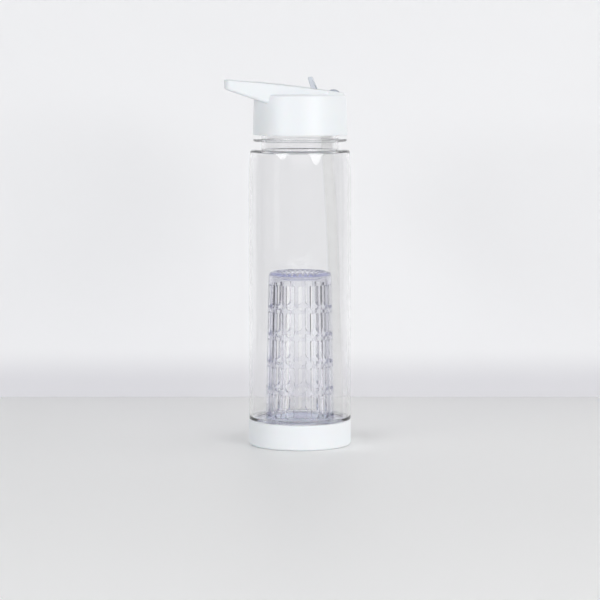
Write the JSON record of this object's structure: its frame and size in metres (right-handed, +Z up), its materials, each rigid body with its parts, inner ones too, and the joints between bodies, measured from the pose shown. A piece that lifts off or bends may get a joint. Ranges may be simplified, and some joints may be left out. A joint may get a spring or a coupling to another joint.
{
  "type": "fruit infuser water bottle",
  "caption": "Clear bottle with a slotted fruit basket on a screw-on base, and a white screw cap with a carry loop, a flip-up spout and a straw.",
  "frame": {"origin": "centre of the foot on the bottle's axis, where the base stands on a table", "axes": "+Z up along the bottle's axis, the carry loop points along -X, and the spout's pivot is parallel to Y"},
  "size_m": [0.0889, 0.0724, 0.2598],
  "materials": {
    "clear_body": "clear, polished",
    "tinted_basket": "clear with a lavender tint, polished",
    "white_shell": "satin moulded",
    "liner": "satin moulded",
    "clear_spout": "clear, polished",
    "frosted_straw": "translucent, slightly frosted",
    "silicone": "soft matt silicone"
  },
  "bodies": {
    "bottle": {"bottle_body": "clear_body"},
    "lid_seal": {"lid_gasket": "silicone"},
    "lid": {"lid_shell": "white_shell", "lid_liner": "liner", "vent_valve": "silicone", "spout_seal": "silicone", "straw": "frosted_straw"},
    "spout": {"spout": "clear_spout"},
    "infuser": {"infuser_basket": "tinted_basket", "base_gasket": "silicone", "infuser_gasket": "silicone"},
    "base": {"base_cup": "white_shell"}
  },
  "joints": [
    {"name": "lid_lift", "type": "slide", "parent": "bottle", "child": "lid_seal", "axis": [0, 0, 1], "range_m": [0, 0.008]},
    {"name": "lid_turn", "type": "hinge", "parent": "lid_seal", "child": "lid", "pos_m": [0, 0, 0.234], "axis": [0, 0, 1], "range_deg": [0, 720]},
    {"name": "spout_flip", "type": "hinge", "parent": "lid", "child": "spout", "pos_m": [0.0235, 0, 0.2459], "axis": [0, 1, 0], "range_deg": [0, 90]},
    {"name": "base_drop", "type": "slide", "parent": "bottle", "child": "infuser", "axis": [0, 0, -1], "range_m": [0, 0.008]},
    {"name": "base_turn", "type": "hinge", "parent": "infuser", "child": "base", "pos_m": [0, 0, 0], "axis": [0, 0, -1], "range_deg": [0, 720]}
  ],
  "couplings": [
    {"joint": "lid_lift", "follows": "lid_turn", "m_per_rad": 0.00063662},
    {"joint": "base_drop", "follows": "base_turn", "m_per_rad": 0.00063662}
  ]
}
